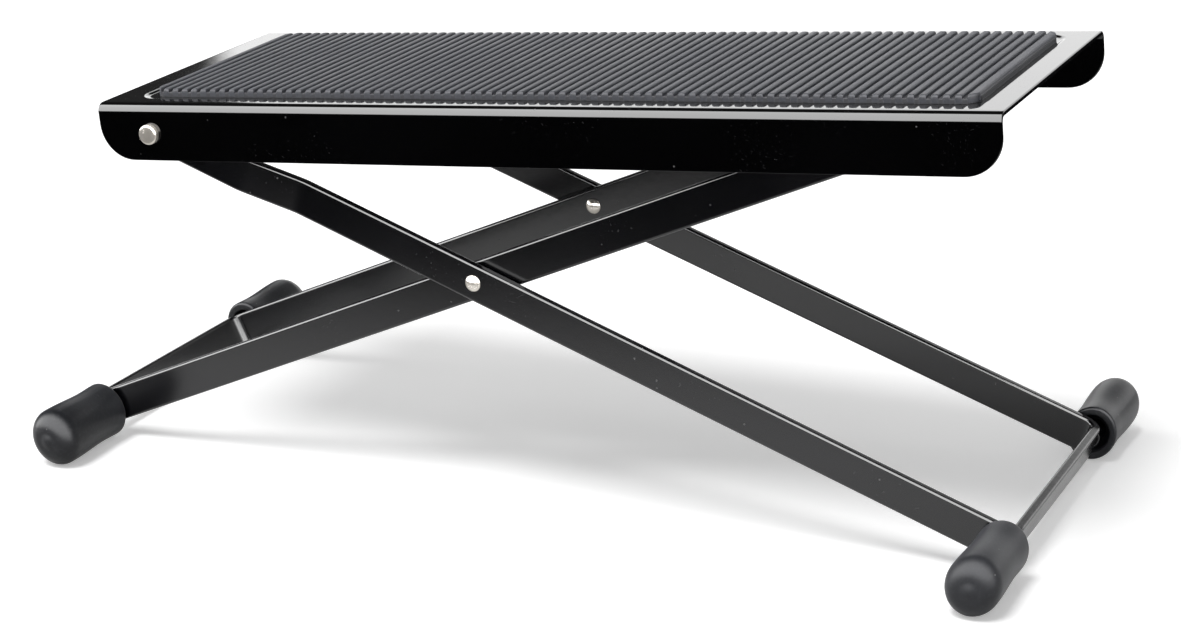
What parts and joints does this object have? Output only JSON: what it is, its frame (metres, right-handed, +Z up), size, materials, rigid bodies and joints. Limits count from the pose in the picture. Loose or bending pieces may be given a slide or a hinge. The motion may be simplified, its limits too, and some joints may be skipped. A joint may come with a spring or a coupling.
{
  "type": "guitar footrest",
  "caption": "Folding footrest with a sloping, ribbed platform on crossed leg frames with rubber feet, set higher or lower by a rod under the platform.",
  "frame": {"origin": "on the floor, under the middle of the footrest's bounding box at its lowest setting", "axes": "+X along the platform towards its raised end, +Y across it to the back, +Z up"},
  "size_m": [0.3314, 0.168, 0.1426],
  "materials": {
    "platform_enamel": "gloss black enamel",
    "leg_enamel": "semi-gloss black enamel",
    "peg_enamel": "semi-gloss black enamel",
    "rack_enamel": "black enamel",
    "mat_rubber": "matte ribbed rubber",
    "cap_rubber": "satin moulded rubber",
    "rivet_nickel": "nickel plated",
    "washer_steel": "plain",
    "rod_steel": "drawn bright"
  },
  "bodies": {
    "outer_frame": {"outer_leg_frame": "leg_enamel", "foot_peg_right_front": "peg_enamel", "foot_peg_right_back": "peg_enamel", "foot_cap_right_front": "cap_rubber", "foot_cap_right_back": "cap_rubber", "mid_rivet_front": "rivet_nickel", "mid_rivet_back": "rivet_nickel", "mid_washer_front": "washer_steel", "mid_washer_back": "washer_steel"},
    "platform": {"platform_channel": "platform_enamel", "ribbed_mat": "mat_rubber", "pivot_rivet_front": "rivet_nickel", "pivot_rivet_back": "rivet_nickel", "pivot_washer_front": "washer_steel", "pivot_washer_back": "washer_steel", "height_rack_front": "rack_enamel", "height_rack_back": "rack_enamel"},
    "inner_frame": {"inner_leg_frame": "leg_enamel", "foot_peg_left_front": "peg_enamel", "foot_peg_left_back": "peg_enamel", "foot_cap_left_front": "cap_rubber", "foot_cap_left_back": "cap_rubber", "support_rod": "rod_steel"}
  },
  "joints": [
    {"name": "platform_pivot", "type": "hinge", "parent": "outer_frame", "child": "platform", "pos_m": [-0.12447, 0, 0.11062], "axis": [0, 1, 0], "range_deg": [-22, 23.4]},
    {"name": "leg_pivot", "type": "hinge", "parent": "outer_frame", "child": "inner_frame", "pos_m": [-0.01398, 0, 0.07094], "axis": [0, 1, 0], "range_deg": [-40.6, 43]}
  ],
  "couplings": [
    {"joint": "leg_pivot", "follows": "platform_pivot", "ratio": 1.8371}
  ]
}
